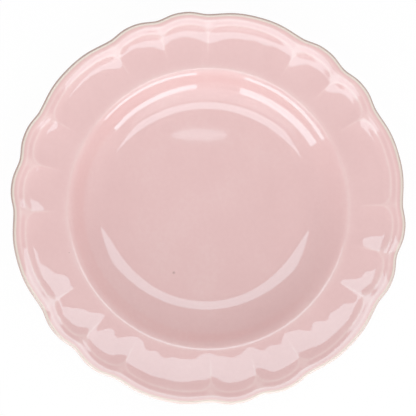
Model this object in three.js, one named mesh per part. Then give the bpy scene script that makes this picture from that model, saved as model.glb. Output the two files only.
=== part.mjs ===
// A deep soup plate of pink glazed earthenware, with a scalloped, fluted and stepped rim.
// Millimetres, +Z up. The origin is the centre of the foot, on the table, and a wide lobe lies on +X.
import * as THREE from "three";
import { mergeVertices } from "three/addons/utils/BufferGeometryUtils.js";

// Sizes across the face, in order from its centre to its edge
const FLOOR_RADIUS = 56.2; // nearly flat floor of the well
const WALL_RUN = 29.8; // floor to the lip of the well
const PANEL_LENGTH = 26.2; // lip of the well to the heads of the fluted panels
const STEP_RUN = 3.5; // the border climbs from the heads in a step
const TREAD_RUN = 1.4; // flatter band beside it
const SHOULDER_RUN = 1.3; // cream line along the edge
const EDGE_RADIUS = 1.6; // round nose of the edge

// Sizes up the face, in order from the table
const FOOT_HEIGHT = 3;
const FLOOR_THICKNESS = 4.2;
const FLOOR_DISH = 1.6; // rise of the floor from its centre to its rim
const FLOOR_LEVEL = 0.5; // share of the floor's radius where its level meets its rise; half is an even dish
const WELL_DEPTH = 17.5;
const PANEL_RISE = 5.7;
const STEP_RISE = 1.24;
const TREAD_RISE = 0.375;
const SHOULDER_RISE = 0.29;
const STEP_ROUNDING = 0.18; // 0 is a plain slope, 1 starts and ends level

// Bends of the section: slopes in degrees, and how far each bend reaches along its tangent
const LIP_SLOPE = 5;
const HEAD_SLOPE = 16;
const FOOT_SLOPE = 12;
const UNDERCUT_SLOPE = 42; // underside at the edge
const WELL_BEND = 19.3;
const LIP_BEND = 5.6;
const LIP_BACK_BEND = 5;
const FOOT_BEND = 21;
const RIM_BACK_BEND = 18;
const UNDERCUT_BEND = 10;

// Thickness
const WALL_THICKNESS = 5; // through the lip of the well, glaze included
const GLAZE_THICKNESS = 0.5;

// Scallops and flutes of the rim
const LOBE_GROUPS = 6; // each is one wide lobe and two narrow ones
const WIDE_LOBE_ANGLE = 29.4;
const NARROW_LOBE_ANGLE = (360 / LOBE_GROUPS - WIDE_LOBE_ANGLE) / 2;
const NOTCH_DEPTH = 2.1; // crest of a lobe to the notch beside it
const WIDE_FULLNESS = 1.6; // 1 is a plain wave, more is a broader crest
const NARROW_FULLNESS = 1.3;
const PANEL_SINK = 0.5; // heads down to the ends of the ribs
const WIDE_FLUTE_DEPTH = 0.4; // ribs down to the bed of the flute between them
const NARROW_FLUTE_DEPTH = 0.33;
const FLUTE_SIDE = 0.58; // share of half a lobe, from its rib to its bed
const HEAD_FLANK = 6.1; // bed of a flute out to its head
const FLUTE_FADE = 1; // lip of the well to where the ribs begin

// Foot ring
const FOOT_OUTSET = 5.8; // edge of the floor out to the outer side of the ring
const FOOT_WIDTH = 5;
const FOOT_CHAMFER = 0.8;

// Facets round the plate, and along each stretch of its section
const WIDE_LOBE_FACETS = 8;
const NARROW_LOBE_FACETS = 6;
const ROUND_FACETS = 48;
const FLOOR_FACETS = 2;
const WALL_FACETS = 6;
const PANEL_FACETS = 6;
const PANEL_CROWDING = 1.5; // above 1, the facets are shorter towards the heads
const STEP_FACETS = 3;
const NOSE_FACETS = 3;
const UNDERSIDE_FACETS = 3;
const WALL_BACK_FACETS = 5;

const PINK_GLAZE = { color: 0xe6c3c0, roughness: 0.12, metalness: 0 };
const CREAM_GLAZE = { color: 0xe9ddd4, roughness: 0.15, metalness: 0 };
const BARE_CLAY = { color: 0xe6d8c8, roughness: 0.8, metalness: 0 };

const { clamp, degToRad, smoothstep } = THREE.MathUtils;
const at = (r, z) => new THREE.Vector2(r, z);
const along = (degrees) => at(Math.cos(degToRad(degrees)), Math.sin(degToRad(degrees)));

// Corners of the section, as radius and height, on the outside of the glaze
const floorCentre = at(0, FOOT_HEIGHT + FLOOR_THICKNESS);
const floorEdge = at(FLOOR_RADIUS, floorCentre.y + FLOOR_DISH);
const lip = at(floorEdge.x + WALL_RUN, floorEdge.y + WELL_DEPTH);
const head = at(lip.x + PANEL_LENGTH, lip.y + PANEL_RISE);
const tread = at(head.x + STEP_RUN, head.y + STEP_RISE);
const shoulder = at(tread.x + TREAD_RUN, tread.y + TREAD_RISE);
const crest = at(shoulder.x + SHOULDER_RUN, shoulder.y + SHOULDER_RISE);
const nose = at(crest.x, crest.y - EDGE_RADIUS);
const noseEnd = nose.clone().addScaledVector(along(UNDERCUT_SLOPE - 90), EDGE_RADIUS);
const lipBack = lip.clone().addScaledVector(along(LIP_SLOPE - 90), WALL_THICKNESS);
const footOuter = at(FLOOR_RADIUS + FOOT_OUTSET, FOOT_HEIGHT);
const footInner = at(footOuter.x - FOOT_WIDTH, FOOT_HEIGHT);
const baseCentre = at(0, FOOT_HEIGHT);

// A curve between two corners, which leaves and arrives on the given tangents
function bend(from, leaving, to, arriving) {
  return new THREE.CubicBezierCurve(from, from.clone().add(leaving), to.clone().sub(arriving), to);
}

// Stations along a curve after its start; crowding above 1 draws them towards the end
function stations(curve, count, crowding = 1) {
  return Array.from({ length: count }, (_, k) => {
    const share = 1 - (1 - (k + 1) / count) ** crowding;
    return { place: curve.getPoint(share) };
  });
}

const floorTurn = at(FLOOR_RADIUS * FLOOR_LEVEL, floorCentre.y); // where the level of the floor meets its rise

function floorStations() {
  const curve = new THREE.QuadraticBezierCurve(floorCentre, floorTurn, floorEdge);
  return [{ place: floorCentre }, ...stations(curve, FLOOR_FACETS)];
}

function wallStations() {
  const floorTangent = floorEdge.clone().sub(floorTurn).setLength(WELL_BEND);
  const lipTangent = along(LIP_SLOPE).multiplyScalar(LIP_BEND);
  return stations(bend(floorEdge, floorTangent, lip, lipTangent), WALL_FACETS);
}

function panelStations() {
  const third = (slope) => at(1, Math.tan(degToRad(slope))).multiplyScalar(PANEL_LENGTH / 3);
  const curve = bend(lip, third(LIP_SLOPE), head, third(HEAD_SLOPE));
  const list = stations(curve, PANEL_FACETS, PANEL_CROWDING);
  return list.map((station) => ({ ...station, fluted: true }));
}

// The rounded step of the border, and the tread beside it
function borderStations() {
  const step = Array.from({ length: STEP_FACETS }, (_, k) => {
    const share = (k + 1) / STEP_FACETS;
    const climb = share - (STEP_ROUNDING * Math.sin(2 * Math.PI * share)) / (2 * Math.PI);
    return { place: at(head.x + STEP_RUN * share, head.y + STEP_RISE * climb) };
  });
  return [...step, { place: shoulder }];
}

function noseStations() {
  const start = Math.PI / 2;
  const end = degToRad(UNDERCUT_SLOPE - 90);
  return stations(new THREE.ArcCurve(nose.x, nose.y, EDGE_RADIUS, start, end, true), NOSE_FACETS);
}

function undersideStations() {
  const leaving = along(UNDERCUT_SLOPE).multiplyScalar(-UNDERCUT_BEND);
  const arriving = along(LIP_SLOPE).multiplyScalar(-RIM_BACK_BEND);
  return stations(bend(noseEnd, leaving, lipBack, arriving), UNDERSIDE_FACETS);
}

function wallBackStations() {
  const leaving = along(LIP_SLOPE).multiplyScalar(-LIP_BACK_BEND);
  const arriving = along(FOOT_SLOPE).multiplyScalar(-FOOT_BEND);
  return stations(bend(lipBack, leaving, footOuter, arriving), WALL_BACK_FACETS);
}

// The whole section: over the face from its centre, round the edge, and back under to the centre
const face = [...floorStations(), ...wallStations(), ...panelStations(), ...borderStations()];
const edge = [face.at(-1), { place: crest }, ...noseStations()];
const back = [edge.at(-1), ...undersideStations(), ...wallBackStations()];
const foot = [back.at(-1), { place: footInner }];
const base = [foot.at(-1), { place: baseCentre }];
const section = [...face, ...edge.slice(1), ...back.slice(1), ...foot.slice(1), ...base.slice(1)];
section.forEach((station, index) => {
  const before = section[Math.max(index - 1, 0)].place;
  const after = section[Math.min(index + 1, section.length - 1)].place;
  const onAxis = station.place.x === 0;
  station.order = index;
  station.scalloped = station.place.x > lip.x + FLUTE_FADE;
  station.normal = onAxis
    ? at(0, index === 0 ? 1 : -1)
    : at(before.y - after.y, after.x - before.x).normalize();
});

// Angles round the plate, with the share of its lobe that each lies at: 0 on the crest, 1 in the notch
function scallopedAngles() {
  const list = [];
  let start = -WIDE_LOBE_ANGLE / 2;
  const addLobe = (angle, facets, fullness, fluteDepth) => {
    for (let k = 0; k < facets; k += 1) {
      const across = Math.sin(Math.PI * (k / facets - 0.5));
      const degrees = start + (angle * (1 + across)) / 2;
      list.push({ angle: degToRad(degrees), off: Math.abs(across), fullness, fluteDepth });
    }
    start += angle;
  };
  for (let group = 0; group < LOBE_GROUPS; group += 1) {
    addLobe(WIDE_LOBE_ANGLE, WIDE_LOBE_FACETS, WIDE_FULLNESS, WIDE_FLUTE_DEPTH);
    addLobe(NARROW_LOBE_ANGLE, NARROW_LOBE_FACETS, NARROW_FULLNESS, NARROW_FLUTE_DEPTH);
    addLobe(NARROW_LOBE_ANGLE, NARROW_LOBE_FACETS, NARROW_FULLNESS, NARROW_FLUTE_DEPTH);
  }
  return list;
}

function roundAngles() {
  const start = degToRad(-WIDE_LOBE_ANGLE / 2);
  const turn = (2 * Math.PI) / ROUND_FACETS;
  return Array.from({ length: ROUND_FACETS }, (_, k) => ({ angle: start + turn * k }));
}

const SCALLOPED = scallopedAngles();
const ROUND = roundAngles();

// How far a notch draws the rim in; the scallop dies away from the panel heads down to the lip of the well
function notch(radius, spot) {
  const wave = Math.sin((Math.PI / 2) * spot.off ** spot.fullness) ** 2;
  return NOTCH_DEPTH * wave * smoothstep(radius, lip.x, head.x);
}

// How deep a panel is pressed below its heads: a little along its ribs, and most in the beds of its flutes
function flute(radius, spot) {
  const side = clamp((1 - spot.off) / FLUTE_SIDE, 0, 1);
  const depth = PANEL_SINK + spot.fluteDepth * (1 - (1 - side) ** 2);
  const grown = smoothstep(radius, lip.x + FLUTE_FADE, head.x - HEAD_FLANK);
  return depth * grown * smoothstep(head.x - radius, 0, HEAD_FLANK);
}

// One ring of points at a station, at a depth below the outside of the glaze
function ringAt(station, depth) {
  const radius = station.place.x - station.normal.x * depth;
  const height = station.place.y - station.normal.y * depth;
  const order = station.order + depth;
  if (station.place.x === 0) {
    return { points: [new THREE.Vector3(0, 0, height)], angles: [], order };
  }
  const spots = station.scalloped ? SCALLOPED : ROUND;
  const points = spots.map((spot) => {
    const r = radius - (station.scalloped ? notch(station.place.x, spot) : 0);
    const z = height - (station.fluted ? flute(station.place.x, spot) : 0);
    return new THREE.Vector3(r * Math.cos(spot.angle), r * Math.sin(spot.angle), z);
  });
  return { points, angles: spots.map((spot) => spot.angle), order };
}

const skinOf = (list) => list.map((station) => ringAt(station, 0));
const clayOf = (list) => list.map((station) => ringAt(station, GLAZE_THICKNESS));

// Triangles between two rings; faces that two pieces share are cut the same way in both
function strip(one, other) {
  const swapped = one.order > other.order;
  const [a, b] = swapped ? [other, one] : [one, other];
  const pointOf = (ring, k) => ring.points[k % ring.points.length];
  const angleOf = (ring, k) => (k < ring.angles.length ? ring.angles[k] : ring.angles[0] + 2 * Math.PI);
  const triangles = [];
  let i = 0;
  let j = 0;
  while (i < a.angles.length || j < b.angles.length) {
    const bDone = j === b.angles.length;
    const stepA = i < a.angles.length && (bDone || angleOf(a, i + 1) <= angleOf(b, j + 1));
    const third = stepA ? pointOf(a, i + 1) : pointOf(b, j + 1);
    const triangle = [pointOf(a, i), pointOf(b, j), third];
    triangles.push(swapped ? triangle.reverse() : triangle);
    i += stepA ? 1 : 0;
    j += stepA ? 0 : 1;
  }
  return triangles;
}

// A closed piece from a loop of rings; a loop that starts and ends on the axis is closed there
function solid(name, rings, finish) {
  const triangles = rings.flatMap((ring, k) => strip(ring, rings[(k + 1) % rings.length]));
  const volume = triangles.reduce((sum, [p, q, r]) => sum + p.dot(q.clone().cross(r)), 0);
  const outward = volume > 0 ? triangles : triangles.map((triangle) => triangle.reverse());
  const soup = new THREE.BufferGeometry().setFromPoints(outward.flat());
  const geometry = mergeVertices(soup);
  geometry.computeVertexNormals();
  const mesh = new THREE.Mesh(geometry, new THREE.MeshStandardMaterial(finish));
  mesh.name = name;
  return mesh;
}

// A coat of glaze over a stretch of the section
function coat(name, list, finish) {
  return solid(name, [...skinOf(list), ...clayOf(list).reverse()], finish);
}

function footRing() {
  const sole = (place) => ringAt({ place, normal: at(0, 0), order: 0 }, 0);
  const [outerClay, innerClay] = clayOf(foot);
  const [outerSkin, innerSkin] = skinOf(foot);
  const rings = [
    outerClay,
    outerSkin,
    sole(at(footOuter.x, FOOT_CHAMFER)),
    sole(at(footOuter.x - FOOT_CHAMFER, 0)),
    sole(at(footInner.x + FOOT_CHAMFER, 0)),
    sole(at(footInner.x, FOOT_CHAMFER)),
    innerSkin,
    innerClay,
  ];
  return solid("foot_ring", rings, BARE_CLAY);
}

const plate = new THREE.Group();
plate.name = "soup_plate";
plate.add(solid("clay_body", clayOf(section), BARE_CLAY));
plate.add(footRing());
plate.add(coat("face_glaze", face, PINK_GLAZE));
plate.add(coat("rim_edge_glaze", edge, CREAM_GLAZE));
plate.add(coat("back_glaze", back, PINK_GLAZE));
plate.add(coat("base_glaze", base.toReversed(), PINK_GLAZE));

export default plate;
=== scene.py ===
import math

import bpy
import numpy as np
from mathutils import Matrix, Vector


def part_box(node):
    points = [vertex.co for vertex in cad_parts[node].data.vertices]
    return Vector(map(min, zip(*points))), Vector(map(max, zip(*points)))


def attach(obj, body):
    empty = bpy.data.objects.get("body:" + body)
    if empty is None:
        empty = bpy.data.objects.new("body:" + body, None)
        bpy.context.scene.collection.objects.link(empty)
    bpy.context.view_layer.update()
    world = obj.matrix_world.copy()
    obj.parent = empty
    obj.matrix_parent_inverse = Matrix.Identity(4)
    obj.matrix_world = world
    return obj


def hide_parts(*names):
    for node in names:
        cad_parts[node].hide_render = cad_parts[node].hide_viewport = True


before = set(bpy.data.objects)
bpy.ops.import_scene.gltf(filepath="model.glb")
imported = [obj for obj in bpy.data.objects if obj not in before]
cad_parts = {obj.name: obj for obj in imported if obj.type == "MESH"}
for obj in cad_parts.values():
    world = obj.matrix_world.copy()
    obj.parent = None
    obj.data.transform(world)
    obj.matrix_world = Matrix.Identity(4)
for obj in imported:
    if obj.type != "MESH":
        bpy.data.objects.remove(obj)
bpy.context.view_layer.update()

# Biscuit body: the plate itself, one piece of cream earthenware pressed over a plaster mould on a turning head.
# The mould gives the face its well, flutes, scallops and steps, and a swinging profile tool smooths the back.
# It is fired once and then glazed, so it shows nowhere: every other piece lies on it.

foot_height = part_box("base_glaze")[0].z
foot_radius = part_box("foot_ring")[1].x
foot_width = 0.005
floor_radius = 0.0562
floor_thickness = 0.0042
floor_dish = 0.0016
floor_level = 0.5
wall_run = 0.0298
well_depth = 0.0175
panel_length = 0.0262
panel_rise = 0.0057
step = np.array([0.0035, 0.00124])
step_rounding = 0.18
tread = np.array([0.0014, 0.000375])
shoulder = np.array([0.0013, 0.00029])
edge_radius = 0.0016
wall_thickness = 0.005
glaze_thickness = 0.0005
biscuit_gap = 0.00002
lip_slope = 5
head_slope = 16
undercut_slope = 42
foot_slope = 12


def heading(degrees):
    return np.array([math.cos(math.radians(degrees)), math.sin(math.radians(degrees))])


def curve(count, *corners):
    share = np.linspace(0, 1, count + 1)[:, None]
    level = [np.asarray(corner, dtype=float) + 0 * share for corner in corners]
    while len(level) > 1:
        level = [first + (second - first) * share for first, second in zip(level, level[1:])]
    return level[0]


def bend(count, start, leaving, end, arriving):
    return curve(count, start, start + leaving, end - arriving, end)


floor_middle = np.array([0, foot_height + floor_thickness])
floor_edge = np.array([floor_radius, floor_middle[1] + floor_dish])
lip = floor_edge + (wall_run, well_depth)
head = lip + (panel_length, panel_rise)
crest = head + step + tread + shoulder
nose = crest - (0, edge_radius)
nose_end = nose + edge_radius * heading(undercut_slope - 90)
lip_back = lip + wall_thickness * heading(lip_slope - 90)
foot_outer = np.array([foot_radius, foot_height])
foot_inner = np.array([foot_radius - foot_width, foot_height])

# Floor and wall of the well
flat_floor = np.array([floor_level * floor_radius, floor_middle[1]])
floor_line = curve(12, floor_middle, flat_floor, floor_edge)
floor_slope = math.degrees(math.atan2(*(floor_edge - flat_floor)[::-1]))
wall_foot_pull = 0.0193
wall_head_pull = 0.0056
wall_line = bend(34, floor_edge, wall_foot_pull * heading(floor_slope), lip, wall_head_pull * heading(lip_slope))

# Panel, step, band and rounded edge of the rim
panel_pull = panel_length / 3
panel_line = bend(
    30,
    lip,
    panel_pull * np.array([1, math.tan(math.radians(lip_slope))]),
    head,
    panel_pull * np.array([1, math.tan(math.radians(head_slope))]),
)
share = np.linspace(0, 1, 13)
climb = share - step_rounding * np.sin(2 * math.pi * share) / (2 * math.pi)
step_line = head + np.column_stack([share, climb]) * step
band_facets = 12
band_line = curve(band_facets, head + step, head + step + tread, crest)
turn = np.radians(np.linspace(90, undercut_slope - 90, 13))
nose_line = nose + edge_radius * np.column_stack([np.cos(turn), np.sin(turn)])

# Back of the rim, back of the wall, and the base inside the foot
edge_back_pull = 0.010
rim_back_pull = 0.018
wall_back_pull = 0.005
foot_pull = 0.021
underside_line = bend(
    18, nose_end, -edge_back_pull * heading(undercut_slope), lip_back, -rim_back_pull * heading(lip_slope)
)
wall_back_line = bend(
    22, lip_back, -wall_back_pull * heading(lip_slope), foot_outer, -foot_pull * heading(foot_slope)
)
base_line = curve(6, foot_inner, (0, foot_height))


def joined(*lines):
    return np.vstack([lines[0]] + [line[1:] for line in lines[1:]])


def sunk(line, depth):
    across = np.gradient(line, axis=0)
    across /= np.hypot(across[:, 0], across[:, 1])[:, None]
    inner = line - depth * np.column_stack([-across[:, 1], across[:, 0]])
    inner[np.abs(line[:, 0]) < 1e-9, 0] = 0
    return inner


pink_end = band_facets // 2
face_line = joined(floor_line, wall_line, panel_line, step_line, band_line[:pink_end + 1])
edge_line = joined(band_line[pink_end:], nose_line)
back_line = joined(underside_line, wall_back_line)
section_line = joined(face_line, edge_line, back_line, np.array([foot_outer, foot_inner]), base_line)

# Lobes of the rim, from one wide lobe on +X round to the next; the facets crowd towards the ribs.
# A lobe has its angle, its facets, the fullness of its scallop and the depth of its flute.
lobe_groups = 6
wide_angle = math.radians(29.4)
narrow_angle = (math.tau / lobe_groups - wide_angle) / 2
wide_lobe = (wide_angle, 38, 1.6, 0.0004)
narrow_lobe = (narrow_angle, 20, 1.3, 0.00033)
lobe_marks = []
lobe_start = -wide_angle / 2
for lobe_angle, facets, fullness, flute in (wide_lobe, narrow_lobe, narrow_lobe) * lobe_groups:
    across = np.sin(np.pi * (np.arange(facets) / facets - 0.5))
    place = lobe_start + lobe_angle * (1 + across) / 2
    to_rib = lobe_angle / 2 * (1 - np.abs(across))
    same = np.ones(facets)
    lobe_marks.append(np.column_stack([place, np.abs(across), to_rib, same * fullness, same * flute]))
    lobe_start += lobe_angle
lobe_marks = np.vstack(lobe_marks)
turn_facets = len(lobe_marks)


def swept(start, end, value):
    share = np.clip((value - start) / (end - start), 0, 1)
    return share * share * (3 - 2 * share)


def panel_depth(radius, off, flute):
    panel_sink = 0.0005
    flute_fade = 0.001
    flute_side = 0.58
    soft_rib = 0.03
    head_flank = 0.0061
    head_overlap = 0.0012
    side = np.clip((np.hypot(1 - off, soft_rib) - soft_rib) / flute_side, 0, 1)
    depth = panel_sink + flute * (1 - (1 - side) ** 2)
    grown = swept(lip[0] + flute_fade, head[0] - head_flank, radius)
    return depth * grown * swept(0, head_flank, head[0] + head_overlap - radius)


def panel_wave(radius, angle):
    wave_height = 0.000035
    wave = wave_height * (np.sin(41 * angle + 0.4) + 0.8 * np.sin(59 * angle + 1.9))
    return wave * swept(lip[0] + 0.002, lip[0] + 0.014, radius) * swept(0, 0.01, head[0] - radius)


def turned(name, line, closed):
    bpy.ops.object.select_all(action="DESELECT")
    bpy.ops.mesh.primitive_circle_add(vertices=3, radius=0.01, enter_editmode=True, location=(0, 0, 0))
    piece = bpy.context.object
    piece.name = name
    bpy.ops.mesh.merge(type="CENTER")
    bpy.ops.transform.translate(value=(line[0][0], 0, line[0][1]))
    for move in np.diff(line, axis=0):
        bpy.ops.mesh.extrude_region_move(TRANSFORM_OT_translate={"value": (move[0], 0, move[1])})
    if closed:
        bpy.ops.object.mode_set(mode="OBJECT")
        for vertex in piece.data.vertices:
            vertex.select = vertex.index in (0, len(line) - 1)
        bpy.ops.object.mode_set(mode="EDIT")
        bpy.ops.mesh.edge_face_add()
    bpy.ops.mesh.select_all(action="SELECT")
    sector = math.tau / lobe_groups
    bpy.ops.mesh.spin(steps=turn_facets // lobe_groups, angle=sector, center=(0, 0, 0), axis=(0, 0, 1))
    bpy.ops.mesh.select_all(action="SELECT")
    bpy.ops.mesh.spin(steps=lobe_groups - 1, dupli=True, angle=math.tau - sector, center=(0, 0, 0), axis=(0, 0, 1))
    bpy.ops.mesh.select_all(action="SELECT")
    bpy.ops.mesh.remove_doubles(threshold=1e-6)
    bpy.ops.mesh.normals_make_consistent(inside=False)
    bpy.ops.object.mode_set(mode="OBJECT")
    return piece


def pressed(piece):
    notch_depth = 0.0021
    growth = 1.0023
    oval = 0.0037
    oval_turn = math.radians(31.6)
    points = np.empty(3 * len(piece.data.vertices))
    piece.data.vertices.foreach_get("co", points)
    points = points.reshape(-1, 3)
    radius = np.hypot(points[:, 0], points[:, 1])
    mark = np.round(np.arctan2(points[:, 1], points[:, 0]) * turn_facets / math.tau).astype(int) % turn_facets
    angle, off, to_rib, fullness, flute = lobe_marks[mark].T
    notch = notch_depth * np.sin(math.pi / 2 * off ** fullness) ** 2 * swept(lip[0], head[0], radius)
    middle = (np.interp(radius, *face_line.T) + np.interp(radius, *back_line[::-1].T)) / 2
    depth = np.where(points[:, 2] > middle, panel_depth(radius, off, flute) + panel_wave(radius, angle), 0)
    out_of_round = growth + oval * np.cos(2 * angle + oval_turn)
    points[:, 0] = (radius - notch) * out_of_round * np.cos(angle)
    points[:, 1] = (radius - notch) * out_of_round * np.sin(angle)
    warp = 0.00012 * np.sin(3 * angle + 0.7) + 0.0001 * np.sin(5 * angle + 2.1)
    points[:, 2] += warp * swept(lip[0], crest[0], radius) - depth
    piece.data.vertices.foreach_set("co", points.ravel())
    piece.data.update()
    bpy.ops.object.select_all(action="DESELECT")
    piece.select_set(True)
    bpy.context.view_layer.objects.active = piece
    bpy.ops.object.shade_smooth_by_angle(angle=math.radians(40))
    return radius, to_rib


class Wire:
    """A socket in a finish's node tree. Sums on it add Math nodes."""

    def __init__(self, tree, socket=None):
        self.tree = tree
        self.socket = socket

    def node(self, kind, settings, values, output=0):
        made = self.tree.nodes.new(kind)
        for name, setting in settings.items():
            setattr(made, name, setting)
        for name, value in values.items():
            if isinstance(value, Wire):
                self.tree.links.new(value.socket, made.inputs[name])
            else:
                made.inputs[name].default_value = value
        return Wire(self.tree, made.outputs[output])

    def sum(self, operation, first, second):
        return self.node("ShaderNodeMath", {"operation": operation}, {0: first, 1: second})

    def __add__(self, other):
        return self.sum("ADD", self, other)

    def __radd__(self, other):
        return self.sum("ADD", other, self)

    def __sub__(self, other):
        return self.sum("SUBTRACT", self, other)

    def __rsub__(self, other):
        return self.sum("SUBTRACT", other, self)

    def __mul__(self, other):
        return self.sum("MULTIPLY", self, other)

    def __rmul__(self, other):
        return self.sum("MULTIPLY", other, self)

    def between(self, low, high):
        return self.node("ShaderNodeMapRange", {}, {"Value": self, "From Min": low, "From Max": high})

    def paint(self, under, over):
        return self.node("ShaderNodeMix", {"data_type": "RGBA"}, {0: self, 6: under, 7: over}, 2)

    def feed(self, shader, name):
        self.tree.links.new(self.socket, shader.inputs[name])


def colour(red, green, blue):
    linear = [((c / 255 + 0.055) / 1.055) ** 2.4 if c > 10 else c / 255 / 12.92 for c in (red, green, blue)]
    return (*linear, 1)


def finish(name, piece, roughness):
    material = bpy.data.materials.new(name)
    material.use_nodes = True
    piece.data.materials.clear()
    piece.data.materials.append(material)
    tree = material.node_tree
    shader = tree.nodes["Principled BSDF"]
    shader.inputs["Roughness"].default_value = roughness
    shader.inputs["IOR"].default_value = 1.6
    wire = Wire(tree)
    place = wire.node("ShaderNodeTexCoord", {}, {}, "Object")
    return shader, wire, place


def noise(place, scale, detail):
    return place.node("ShaderNodeTexNoise", {}, {"Vector": place, "Scale": scale, "Detail": detail})


def roughen(shader, height, strength, distance):
    bump = {"Height": height, "Strength": strength, "Distance": distance}
    height.node("ShaderNodeBump", {}, bump).feed(shader, "Normal")


biscuit = turned("biscuit_body", sunk(section_line, glaze_thickness + biscuit_gap), False)
pressed(biscuit)
shader, wire, place = finish("cream_biscuit", biscuit, 0.85)
grain = noise(place, 900, 3)
grain.paint(colour(222, 206, 188), colour(236, 223, 207)).feed(shader, "Base Color")
roughen(shader, grain, 0.3, 0.0001)
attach(biscuit, "root")
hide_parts("clay_body")

# Foot ring: the standing ring under the well, turned with the body from the same clay.
# It is wiped clean of glaze before the second firing so that the plate doesn't stick to the kiln shelf,
# and its sole is rubbed smooth: matt cream clay with fine iron specks.

foot_round = 0.0011
inner_side = foot_inner + (0, foot_round - foot_height)
outer_side = foot_outer + (0, foot_round - foot_height)
inner_sole = np.array([foot_inner[0] + foot_round, 0])
outer_sole = np.array([foot_outer[0] - foot_round, 0])
foot_line = joined(
    np.array([foot_inner + (0, glaze_thickness), foot_inner, inner_side]),
    curve(6, inner_side, (foot_inner[0], 0), inner_sole),
    curve(3, inner_sole, outer_sole),
    curve(6, outer_sole, (foot_outer[0], 0), outer_side),
    np.array([outer_side, foot_outer, foot_outer + (0, glaze_thickness)]),
)
foot = turned("bare_foot", foot_line, True)
pressed(foot)
shader, wire, place = finish("bare_foot_clay", foot, 0.8)
grain = noise(place, 1400, 4)
cloud = noise(place, 60, 2)
specks = noise(place, 700, 1).between(0.70, 0.76)
clay = grain.paint(colour(214, 196, 176), colour(234, 219, 201))
clay = (cloud * 0.5).paint(clay, colour(226, 203, 178))
specks.paint(clay, colour(150, 112, 84)).feed(shader, "Base Color")
(0.7 + grain * 0.25).feed(shader, "Roughness")
roughen(shader, grain, 0.5, 0.0001)
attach(foot, "root")
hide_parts("foot_ring")

# Face glaze: the pink glaze poured over the well and the rim, melted to a hard glossy skin in the second firing.
# It runs thin and pale over the beads and the lip of the well, which is partly a painted highlight. It is painted
# pale as a highlight where the ribs meet the rim, and lies deeper in the grooves and the flutes.


def coat_line(line):
    inner = sunk(line, glaze_thickness)[::-1]
    kept = np.unique(np.append(np.arange(0, len(inner), 2), len(inner) - 1))
    return np.vstack([line, inner[kept]])


def lay_on(piece, name, values):
    piece.data.attributes.new(name, "FLOAT", "POINT").data.foreach_set("value", values.astype(np.float32))


def pink_glaze(name, piece, iron_speck):
    # The thin pink is both thin glaze and, on the face, the colour of painted highlights.
    even_pink, deep_pink, thin_and_highlight_pink = colour(229, 188, 186), colour(216, 169, 168), colour(241, 217, 212)
    fine_brown, iron_brown = colour(148, 104, 92), colour(150, 108, 98)
    cool_gloss = (0.7, 1, 1.06, 1)
    speck_core, speck_rim = 0.012, 0.03
    iron_core, iron_rim = 0.0002, 0.0012
    shader, wire, place = finish(name, piece, 0.1)
    shader.inputs["Specular Tint"].default_value = cool_gloss
    lie_and_highlight = wire.node("ShaderNodeAttribute", {"attribute_name": "glaze_lie_and_highlight"}, {}, "Fac")
    cloud = noise(place, 38, 3)
    grain = noise(place, 420, 2)
    lie_and_highlight = lie_and_highlight + (cloud - 0.5) * 0.5 + (grain - 0.5) * 0.3
    pink = lie_and_highlight.between(0, 1).paint(even_pink, deep_pink)
    # Below zero the glaze is thin; on the face this also lays on painted highlights.
    pink = (0 - lie_and_highlight).between(0, 1).paint(pink, thin_and_highlight_pink)
    cell = {"Vector": place, "Scale": 90, "Randomness": 1}
    near = wire.node("ShaderNodeTexVoronoi", {}, cell, "Distance")
    chance = wire.node("ShaderNodeTexVoronoi", {}, cell, "Color")
    chance = wire.node("ShaderNodeSeparateColor", {}, {"Color": chance}, "Red")
    specks = (1 - near.between(speck_core, speck_rim)) * chance.between(0.95, 0.96) * 0.7
    away = wire.node("ShaderNodeVectorMath", {"operation": "DISTANCE"}, {0: place, 1: iron_speck}, "Value")
    pink = specks.paint(pink, fine_brown)
    iron = (1 - away.between(iron_core, iron_rim)) * 0.5
    iron.paint(pink, iron_brown).feed(shader, "Base Color")
    (0.018 + cloud * 0.016).feed(shader, "Roughness")
    roughen(shader, noise(place, 150, 1), 1, 0.000003)


def hump(value, width):
    return np.exp(-((value / width) ** 2))


face = turned("pink_face", coat_line(face_line), False)
radius, to_rib = pressed(face)
from_lip = radius - lip[0]
from_head = radius - head[0]
off_rib = to_rib * radius

# Thin glaze on each panel's outline, with its rounded corners, partly a painted highlight, and a painted highlight
# in the fork between two panels
panel_corner = 0.0065
from_corner = np.hypot(np.clip(panel_corner - off_rib, 0, None), np.clip(from_head + panel_corner, 0, None))
past_arch = from_corner - panel_corner
outline = hump(past_arch, 0.00065) * swept(0.003, 0.018, from_lip)
# Painted highlight where the rib meets the rim, laid on as pale glaze.
fork_highlight = hump(off_rib, 0.003) * swept(0, 0.001, past_arch) * swept(0, 0.002, 0.005 - from_head)

# Thin and pale on the second bead and the lip, partly as a painted highlight, deep in the grooves, the flutes and
# the corner of the well
second_bead, first_groove, second_groove = 0.0034, 0.0017, 0.005
bead_width, groove_width, lip_width = 0.0006, 0.0008, 0.0013
beads = 0.38 * outline + 0.24 * hump(from_head - second_bead, bead_width)
grooves = 0.2 * hump(from_head - first_groove, groove_width)
grooves = grooves + 0.25 * hump(from_head - second_groove, groove_width)
corner = 0.08 * hump(radius - floor_radius - 0.008, 0.008) - 0.2 * hump(from_lip + 0.0002, lip_width)
flutes = 0.12 * swept(0.001, 0.005, from_lip) * swept(0, 0.006, -from_head)
# The pale terms are thin glaze and partly painted highlight; the fork term is painted highlight only.
lay_on(face, "glaze_lie_and_highlight", grooves * (1 - fork_highlight) + corner + flutes - beads - 0.2 * fork_highlight)
pink_glaze("pink_face_glaze", face, (-0.0301, -0.0327, 0.0083))
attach(face, "root")
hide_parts("face_glaze")

# Edge glaze: the line of thin glaze round the lip of the rim, where it runs off the sharp edge as it melts.
# The cream clay shows through it, toasted a little on the very outside, and painted darker there as shade on the
# side of the plate away from the low lamps in front.

# The darker and paler tones of the toasted line are painted shade and painted light for the two sides of the plate.
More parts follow.
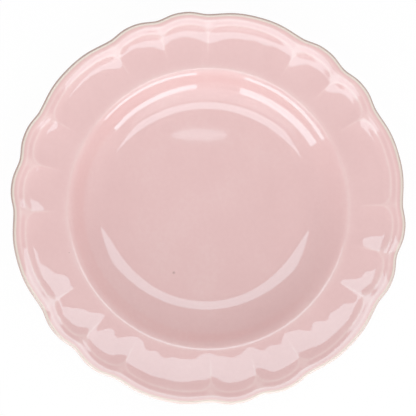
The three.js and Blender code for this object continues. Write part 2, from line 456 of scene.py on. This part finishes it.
pink_at_edge, shaded_toast, lit_toast = colour(222, 183, 180), colour(180, 154, 146), colour(226, 203, 198)
shaded_side = (0.272, 0.962, 0)
edge = turned("cream_edge", coat_line(edge_line), True)
from_crest = pressed(edge)[0] - crest[0]
lay_on(edge, "over_edge", swept(0.0003, 0.0009, from_crest))
lay_on(edge, "from_pink", swept(-0.0008, -0.0001, from_crest))
shader, wire, place = finish("cream_edge_glaze", edge, 0.15)
over = wire.node("ShaderNodeAttribute", {"attribute_name": "over_edge"}, {}, "Fac")
away = wire.node("ShaderNodeAttribute", {"attribute_name": "from_pink"}, {}, "Fac")
cloud = noise(place, 90, 3)
grain = noise(place, 600, 2)
cream = cloud.paint(colour(218, 202, 191), colour(230, 217, 206))
cream = (away + (grain - 0.5) * 0.4).between(0, 1).paint(pink_at_edge, cream)
# Painted shade: the toasted line turns dark towards the side of the plate away from the low lamps, and stays pale
# on the side facing them.
along = wire.node("ShaderNodeVectorMath", {"operation": "DOT_PRODUCT"}, {0: place, 1: shaded_side}, "Value")
toast_and_shade = along.between(-0.1, -0.01).paint(lit_toast, shaded_toast)
(over * (0.6 + cloud * 0.8)).between(0, 1).paint(cream, toast_and_shade).feed(shader, "Base Color")
(0.05 + grain * 0.06).feed(shader, "Roughness")
roughen(shader, noise(place, 260, 1), 1, 0.00002)
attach(edge, "root")
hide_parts("rim_edge_glaze")

# Back glaze: the same pink over the back of the rim and the outside of the well.
# It ends in a soft roll at the top of the foot, where it was wiped off, and is thin under the edge.

back = turned("pink_back", coat_line(back_line), True)
radius = pressed(back)[0]
roll = 0.5 * hump(radius - foot_radius - 0.002, 0.002)
wiped = 0.6 * hump(radius - foot_radius, 0.0005)
lay_on(back, "glaze_lie_and_highlight", roll - hump(radius - nose_end[0], 0.0012) - wiped)
pink_glaze("pink_back_glaze", back, (0.0681, 0.0412, 0.0156))
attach(back, "root")
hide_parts("back_glaze")

# Base glaze: the disc of the same pink inside the foot, melted on in the same firing.
# It lies a little thicker against the ring and thins out where it was wiped off the foot.

base = turned("pink_base", np.vstack([base_line, base_line[::-1] + (0, glaze_thickness)]), False)
inside_foot = foot_inner[0] - pressed(base)[0]
lay_on(base, "glaze_lie_and_highlight", 0.6 * hump(inside_foot - 0.0012, 0.0012) - 0.6 * hump(inside_foot, 0.0004))
pink_glaze("pink_base_glaze", base, (0.0214, -0.0127, foot_height))
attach(base, "root")
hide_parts("base_glaze")

# Table: a plain white sheet that runs out of sight, which the plate stands on.
# It is lit as matt paper and takes the plate's shadow, but the camera and the glaze see it nearly white.

bpy.ops.object.select_all(action="DESELECT")
bpy.ops.mesh.primitive_plane_add(size=12, location=(0, 0, 0))
table = bpy.context.object
table.name = "table"
material = bpy.data.materials.new("white_table")
material.use_nodes = True
table.data.materials.append(material)
wire = Wire(material.node_tree)
shader = material.node_tree.nodes["Principled BSDF"]
shader.inputs["Base Color"].default_value = (0.94, 0.94, 0.94, 1)
shader.inputs["Roughness"].default_value = 0.9
shader.inputs["Specular IOR Level"].default_value = 0


def seen_ray(wire):
    kinds = ("Is Camera Ray", "Is Glossy Ray", "Is Transmission Ray")
    direct, shiny, through = (wire.node("ShaderNodeLightPath", {}, {}, kind) for kind in kinds)
    return direct + shiny + through


seen = seen_ray(wire) * 0.96
white = wire.node("ShaderNodeEmission", {}, {"Color": (1, 1, 1, 1), "Strength": 1})
lit = Wire(material.node_tree, shader.outputs[0])
sheet = wire.node("ShaderNodeMixShader", {}, {0: seen, 1: lit, 2: white})
sheet.feed(material.node_tree.nodes["Material Output"], "Surface")

# Studio: two long softboxes hang over the table, behind and before the plate, and two stand low in front of it.
# A faint wide sheet farther off in front and a small oval lamp over the table fill in, under a soft white room.

studio_turn = math.radians(-15.8)
roof = 6
near_white = (0.95, 1, 1.01)
cool_white = (0.86, 1, 1.02)
sheet_white = (0.9, 1, 1.02)
plain_white = (1, 1, 1)


def softbox(name, place, target, width, height, radiance, tint):
    lamp = bpy.data.lights.new(name, "AREA")
    lamp.shape = "RECTANGLE"
    lamp.size = width
    lamp.size_y = height
    lamp.energy = radiance * math.pi * width * height
    lamp.color = tint
    box = bpy.data.objects.new(name, lamp)
    bpy.context.scene.collection.objects.link(box)
    place = Vector(place)
    aim = (Vector(target) - place).to_track_quat("-Z", "Y")
    spin = Vector((1, 0, 0)).rotation_difference(Vector((math.cos(studio_turn), math.sin(studio_turn), 0)))
    box.rotation_mode = "QUATERNION"
    box.location = spin @ place
    box.rotation_quaternion = spin @ aim
    box.visible_camera = False
    return box


def hung(name, x, y, width, height, radiance, tint):
    return softbox(name, (x, y, roof), (x, y, 0), width, height, radiance, tint)


def stood(name, azimuth, spread, level, height):
    reach = 1.5
    spot = (reach * math.cos(math.radians(azimuth)), reach * math.sin(math.radians(azimuth)), level)
    width = 2 * reach * math.tan(math.radians(spread / 2))
    return softbox(name, spot, (0, 0, level), width, height, 3.8, cool_white)


hung("behind_box", 0.2 * roof, 0.315 * roof, 1.54 * roof, 0.35 * roof, 2.65, near_white)
hung("before_box", 0.07 * roof, -0.61 * roof, 1.44 * roof, 0.40 * roof, 2.7, near_white)
stood("left_box", 237.4, 46, 0.37, 0.38)
stood("right_box", 301.9, 42, 0.225, 0.44)
softbox("front_box", (0, -3, 1.8), (0, 0, 0), 5.5, 1.9, 0.6, sheet_white)
small_box = hung("small_box", 0.598, -0.285, 0.215, 0.046, 1.7, plain_white)
small_box.data.shape = "ELLIPSE"

world = bpy.data.worlds.new("studio")
bpy.context.scene.world = world
world.use_nodes = True
wire = Wire(world.node_tree)
sky = world.node_tree.nodes["Background"]
direction = wire.node("ShaderNodeTexCoord", {}, {}, "Generated")
near_horizon = 1 - wire.node("ShaderNodeSeparateXYZ", {}, {"Vector": direction}, "Z").between(0, 1)
soft = 0.295 + near_horizon * near_horizon * 0.95
seen = seen_ray(wire)
seen.paint((1, 0.975, 0.965, 1), (1, 1, 1, 1)).feed(sky, "Color")
(soft + seen * (1 - soft)).feed(sky, "Strength")

# Camera: above the plate, leaning a few degrees to its left, and turned as the plate lies on the table.
# The plate sits a hair off the middle of the picture.

camera_height = 1.2
camera_lean = math.radians(5.5)
field = 0.2516
plate_aside, plate_below = 0.00135, 0.00024
lens = bpy.data.cameras.new("camera")
lens.sensor_width = 36
lens.lens = lens.sensor_width * camera_height / field
lens.clip_end = 50
camera = bpy.data.objects.new("camera", lens)
bpy.context.scene.collection.objects.link(camera)
leftwards = camera_height * math.sin(camera_lean) + plate_aside
camera.location = (
    -leftwards * math.cos(studio_turn) - plate_below * math.sin(studio_turn),
    -leftwards * math.sin(studio_turn) + plate_below * math.cos(studio_turn),
    crest[1] + camera_height * math.cos(camera_lean),
)
camera.rotation_euler = (0, -camera_lean, studio_turn)
bpy.context.scene.camera = camera
bpy.context.scene.view_settings.view_transform = "Standard"
